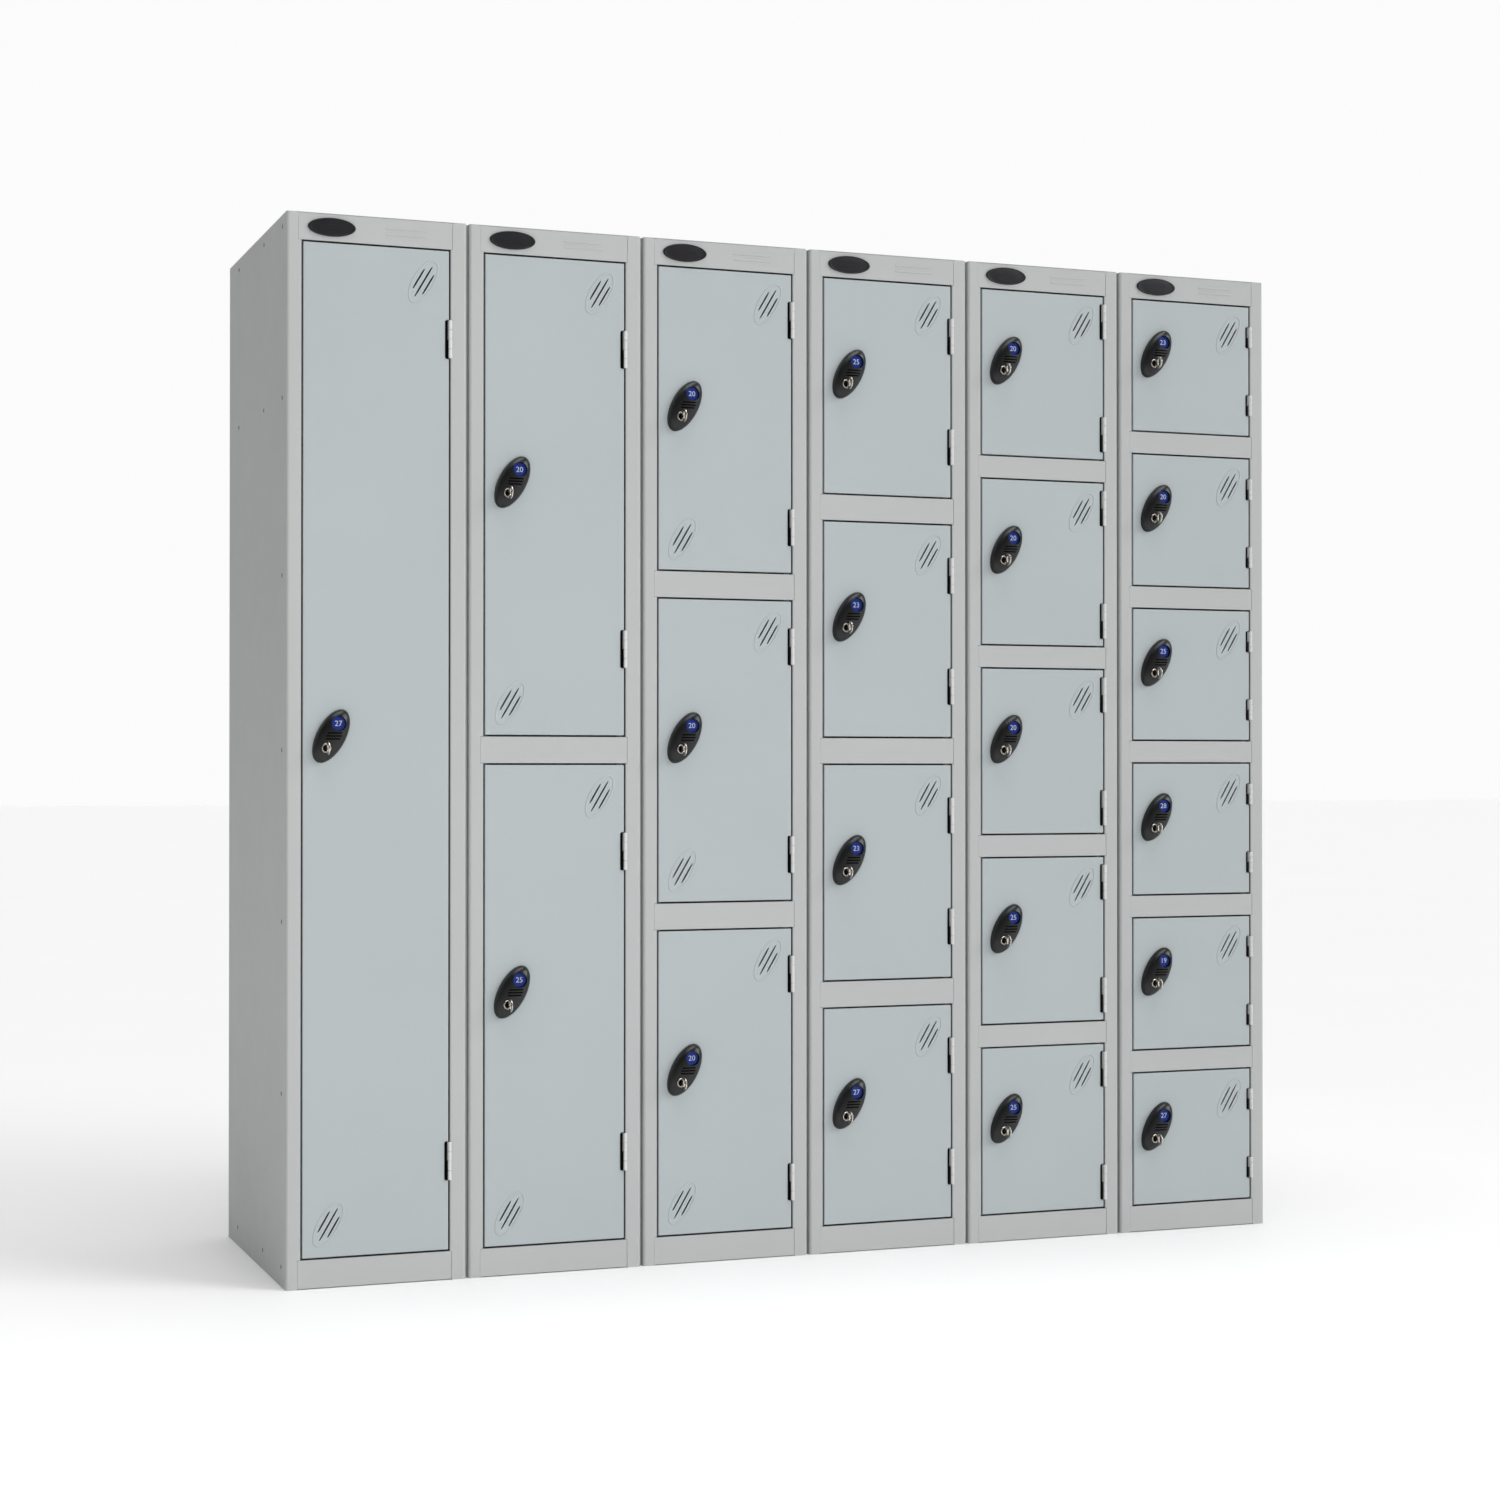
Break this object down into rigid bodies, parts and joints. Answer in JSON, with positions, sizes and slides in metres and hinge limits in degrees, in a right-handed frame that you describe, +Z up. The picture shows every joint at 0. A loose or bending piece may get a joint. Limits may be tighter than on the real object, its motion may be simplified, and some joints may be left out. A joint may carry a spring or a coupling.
{
  "type": "coin operated locker",
  "caption": "Bank of tall steel lockers side by side, each column split into compartments whose hinged doors have a coin lock with a turning key and cam.",
  "frame": {"origin": "centre of the base of the whole bank's bounding box, on the floor", "axes": "+X along the width to the right as seen from the front, +Y towards the back, +Z up"},
  "size_m": [1.855, 0.594, 1.78],
  "materials": {
    "cabinet_paint": "satin light grey powder coat",
    "door_paint": "satin light blue-grey powder coat",
    "badge": "black moulded plastic, low gloss",
    "lock_housing": "black moulded plastic, satin",
    "number_disc": "royal blue plastic with white figures",
    "disc_print": "white printed figures",
    "key_metal": "nickel-plated",
    "hinge_steel": "powder-coated with the cabinet"
  },
  "bodies": {
    "bank": {"cabinet_1": "cabinet_paint", "ladder_frame_1": "cabinet_paint", "header_badge_1": "badge", "cabinet_2": "cabinet_paint", "ladder_frame_2": "cabinet_paint", "header_badge_2": "badge", "cabinet_3": "cabinet_paint", "ladder_frame_3": "cabinet_paint", "header_badge_3": "badge", "cabinet_4": "cabinet_paint", "ladder_frame_4": "cabinet_paint", "header_badge_4": "badge", "cabinet_5": "cabinet_paint", "ladder_frame_5": "cabinet_paint", "header_badge_5": "badge", "cabinet_6": "cabinet_paint", "ladder_frame_6": "cabinet_paint", "header_badge_6": "badge"},
    "door_1_1": {"door_1_1": "door_paint"},
    "key_1_1": {"key_and_cam_1_1": "key_metal"},
    "door_2_1": {"door_2_1": "door_paint"},
    "key_2_1": {"key_and_cam_2_1": "key_metal"},
    "door_2_2": {"door_2_2": "door_paint"},
    "key_2_2": {"key_and_cam_2_2": "key_metal"},
    "door_3_1": {"door_3_1": "door_paint"},
    "key_3_1": {"key_and_cam_3_1": "key_metal"},
    "door_3_2": {"door_3_2": "door_paint"},
    "key_3_2": {"key_and_cam_3_2": "key_metal"},
    "door_3_3": {"door_3_3": "door_paint"},
    "key_3_3": {"key_and_cam_3_3": "key_metal"},
    "door_4_1": {"door_4_1": "door_paint"},
    "key_4_1": {"key_and_cam_4_1": "key_metal"},
    "door_4_2": {"door_4_2": "door_paint"},
    "key_4_2": {"key_and_cam_4_2": "key_metal"},
    "door_4_3": {"door_4_3": "door_paint"},
    "key_4_3": {"key_and_cam_4_3": "key_metal"},
    "door_4_4": {"door_4_4": "door_paint"},
    "key_4_4": {"key_and_cam_4_4": "key_metal"},
    "door_5_1": {"door_5_1": "door_paint"},
    "key_5_1": {"key_and_cam_5_1": "key_metal"},
    "door_5_2": {"door_5_2": "door_paint"},
    "key_5_2": {"key_and_cam_5_2": "key_metal"},
    "door_5_3": {"door_5_3": "door_paint"},
    "key_5_3": {"key_and_cam_5_3": "key_metal"},
    "door_5_4": {"door_5_4": "door_paint"},
    "key_5_4": {"key_and_cam_5_4": "key_metal"},
    "door_5_5": {"door_5_5": "door_paint"},
    "key_5_5": {"key_and_cam_5_5": "key_metal"},
    "door_6_1": {"door_6_1": "door_paint"},
    "key_6_1": {"key_and_cam_6_1": "key_metal"},
    "door_6_2": {"door_6_2": "door_paint"},
    "key_6_2": {"key_and_cam_6_2": "key_metal"},
    "door_6_3": {"door_6_3": "door_paint"},
    "key_6_3": {"key_and_cam_6_3": "key_metal"},
    "door_6_4": {"door_6_4": "door_paint"},
    "key_6_4": {"key_and_cam_6_4": "key_metal"},
    "door_6_5": {"door_6_5": "door_paint"},
    "key_6_5": {"key_and_cam_6_5": "key_metal"},
    "door_6_6": {"door_6_6": "door_paint"},
    "key_6_6": {"key_and_cam_6_6": "key_metal"}
  },
  "joints": [
    {"name": "door_1_1_hinge", "type": "hinge", "parent": "bank", "child": "door_1_1", "pos_m": [-0.6515, -0.2564, 0.891], "axis": [0, 0, 1], "range_deg": [0, 110]},
    {"name": "door_2_1_hinge", "type": "hinge", "parent": "bank", "child": "door_2_1", "pos_m": [-0.3415, -0.2564, 1.32375], "axis": [0, 0, 1], "range_deg": [0, 110]},
    {"name": "door_2_2_hinge", "type": "hinge", "parent": "bank", "child": "door_2_2", "pos_m": [-0.3415, -0.2564, 0.45825], "axis": [0, 0, 1], "range_deg": [0, 110]},
    {"name": "door_3_1_hinge", "type": "hinge", "parent": "bank", "child": "door_3_1", "pos_m": [-0.0315, -0.2564, 1.468], "axis": [0, 0, 1], "range_deg": [0, 110]},
    {"name": "door_3_2_hinge", "type": "hinge", "parent": "bank", "child": "door_3_2", "pos_m": [-0.0315, -0.2564, 0.891], "axis": [0, 0, 1], "range_deg": [0, 110]},
    {"name": "door_3_3_hinge", "type": "hinge", "parent": "bank", "child": "door_3_3", "pos_m": [-0.0315, -0.2564, 0.314], "axis": [0, 0, 1], "range_deg": [0, 110]},
    {"name": "door_4_1_hinge", "type": "hinge", "parent": "bank", "child": "door_4_1", "pos_m": [0.2785, -0.2564, 1.54012], "axis": [0, 0, 1], "range_deg": [0, 110]},
    {"name": "door_4_2_hinge", "type": "hinge", "parent": "bank", "child": "door_4_2", "pos_m": [0.2785, -0.2564, 1.10737], "axis": [0, 0, 1], "range_deg": [0, 110]},
    {"name": "door_4_3_hinge", "type": "hinge", "parent": "bank", "child": "door_4_3", "pos_m": [0.2785, -0.2564, 0.67463], "axis": [0, 0, 1], "range_deg": [0, 110]},
    {"name": "door_4_4_hinge", "type": "hinge", "parent": "bank", "child": "door_4_4", "pos_m": [0.2785, -0.2564, 0.24188], "axis": [0, 0, 1], "range_deg": [0, 110]},
    {"name": "door_5_1_hinge", "type": "hinge", "parent": "bank", "child": "door_5_1", "pos_m": [0.5885, -0.2564, 1.581], "axis": [0, 0, 1], "range_deg": [0, 110]},
    {"name": "door_5_2_hinge", "type": "hinge", "parent": "bank", "child": "door_5_2", "pos_m": [0.5885, -0.2564, 1.236], "axis": [0, 0, 1], "range_deg": [0, 110]},
    {"name": "door_5_3_hinge", "type": "hinge", "parent": "bank", "child": "door_5_3", "pos_m": [0.5885, -0.2564, 0.891], "axis": [0, 0, 1], "range_deg": [0, 110]},
    {"name": "door_5_4_hinge", "type": "hinge", "parent": "bank", "child": "door_5_4", "pos_m": [0.5885, -0.2564, 0.546], "axis": [0, 0, 1], "range_deg": [0, 110]},
    {"name": "door_5_5_hinge", "type": "hinge", "parent": "bank", "child": "door_5_5", "pos_m": [0.5885, -0.2564, 0.201], "axis": [0, 0, 1], "range_deg": [0, 110]},
    {"name": "door_6_1_hinge", "type": "hinge", "parent": "bank", "child": "door_6_1", "pos_m": [0.8985, -0.2564, 1.60975], "axis": [0, 0, 1], "range_deg": [0, 110]},
    {"name": "door_6_2_hinge", "type": "hinge", "parent": "bank", "child": "door_6_2", "pos_m": [0.8985, -0.2564, 1.32225], "axis": [0, 0, 1], "range_deg": [0, 110]},
    {"name": "door_6_3_hinge", "type": "hinge", "parent": "bank", "child": "door_6_3", "pos_m": [0.8985, -0.2564, 1.03475], "axis": [0, 0, 1], "range_deg": [0, 110]},
    {"name": "door_6_4_hinge", "type": "hinge", "parent": "bank", "child": "door_6_4", "pos_m": [0.8985, -0.2564, 0.74725], "axis": [0, 0, 1], "range_deg": [0, 110]},
    {"name": "door_6_5_hinge", "type": "hinge", "parent": "bank", "child": "door_6_5", "pos_m": [0.8985, -0.2564, 0.45975], "axis": [0, 0, 1], "range_deg": [0, 110]},
    {"name": "door_6_6_hinge", "type": "hinge", "parent": "bank", "child": "door_6_6", "pos_m": [0.8985, -0.2564, 0.17225], "axis": [0, 0, 1], "range_deg": [0, 110]},
    {"name": "key_1_1_turn", "type": "hinge", "parent": "door_1_1", "child": "key_1_1", "pos_m": [-0.86397, -0.253, 0.89279], "axis": [0, 1, 0], "range_deg": [0, 90]},
    {"name": "key_2_1_turn", "type": "hinge", "parent": "door_2_1", "child": "key_2_1", "pos_m": [-0.55397, -0.253, 1.32554], "axis": [0, 1, 0], "range_deg": [0, 90]},
    {"name": "key_2_2_turn", "type": "hinge", "parent": "door_2_2", "child": "key_2_2", "pos_m": [-0.55397, -0.253, 0.46004], "axis": [0, 1, 0], "range_deg": [0, 90]},
    {"name": "key_3_1_turn", "type": "hinge", "parent": "door_3_1", "child": "key_3_1", "pos_m": [-0.24397, -0.253, 1.46979], "axis": [0, 1, 0], "range_deg": [0, 90]},
    {"name": "key_3_2_turn", "type": "hinge", "parent": "door_3_2", "child": "key_3_2", "pos_m": [-0.24397, -0.253, 0.89279], "axis": [0, 1, 0], "range_deg": [0, 90]},
    {"name": "key_3_3_turn", "type": "hinge", "parent": "door_3_3", "child": "key_3_3", "pos_m": [-0.24397, -0.253, 0.31579], "axis": [0, 1, 0], "range_deg": [0, 90]},
    {"name": "key_4_1_turn", "type": "hinge", "parent": "door_4_1", "child": "key_4_1", "pos_m": [0.06603, -0.253, 1.54191], "axis": [0, 1, 0], "range_deg": [0, 90]},
    {"name": "key_4_2_turn", "type": "hinge", "parent": "door_4_2", "child": "key_4_2", "pos_m": [0.06603, -0.253, 1.10916], "axis": [0, 1, 0], "range_deg": [0, 90]},
    {"name": "key_4_3_turn", "type": "hinge", "parent": "door_4_3", "child": "key_4_3", "pos_m": [0.06603, -0.253, 0.67641], "axis": [0, 1, 0], "range_deg": [0, 90]},
    {"name": "key_4_4_turn", "type": "hinge", "parent": "door_4_4", "child": "key_4_4", "pos_m": [0.06603, -0.253, 0.24366], "axis": [0, 1, 0], "range_deg": [0, 90]},
    {"name": "key_5_1_turn", "type": "hinge", "parent": "door_5_1", "child": "key_5_1", "pos_m": [0.37603, -0.253, 1.58279], "axis": [0, 1, 0], "range_deg": [0, 90]},
    {"name": "key_5_2_turn", "type": "hinge", "parent": "door_5_2", "child": "key_5_2", "pos_m": [0.37603, -0.253, 1.23779], "axis": [0, 1, 0], "range_deg": [0, 90]},
    {"name": "key_5_3_turn", "type": "hinge", "parent": "door_5_3", "child": "key_5_3", "pos_m": [0.37603, -0.253, 0.89279], "axis": [0, 1, 0], "range_deg": [0, 90]},
    {"name": "key_5_4_turn", "type": "hinge", "parent": "door_5_4", "child": "key_5_4", "pos_m": [0.37603, -0.253, 0.54779], "axis": [0, 1, 0], "range_deg": [0, 90]},
    {"name": "key_5_5_turn", "type": "hinge", "parent": "door_5_5", "child": "key_5_5", "pos_m": [0.37603, -0.253, 0.20279], "axis": [0, 1, 0], "range_deg": [0, 90]},
    {"name": "key_6_1_turn", "type": "hinge", "parent": "door_6_1", "child": "key_6_1", "pos_m": [0.68603, -0.253, 1.61154], "axis": [0, 1, 0], "range_deg": [0, 90]},
    {"name": "key_6_2_turn", "type": "hinge", "parent": "door_6_2", "child": "key_6_2", "pos_m": [0.68603, -0.253, 1.32404], "axis": [0, 1, 0], "range_deg": [0, 90]},
    {"name": "key_6_3_turn", "type": "hinge", "parent": "door_6_3", "child": "key_6_3", "pos_m": [0.68603, -0.253, 1.03654], "axis": [0, 1, 0], "range_deg": [0, 90]},
    {"name": "key_6_4_turn", "type": "hinge", "parent": "door_6_4", "child": "key_6_4", "pos_m": [0.68603, -0.253, 0.74904], "axis": [0, 1, 0], "range_deg": [0, 90]},
    {"name": "key_6_5_turn", "type": "hinge", "parent": "door_6_5", "child": "key_6_5", "pos_m": [0.68603, -0.253, 0.46154], "axis": [0, 1, 0], "range_deg": [0, 90]},
    {"name": "key_6_6_turn", "type": "hinge", "parent": "door_6_6", "child": "key_6_6", "pos_m": [0.68603, -0.253, 0.17404], "axis": [0, 1, 0], "range_deg": [0, 90]}
  ]
}
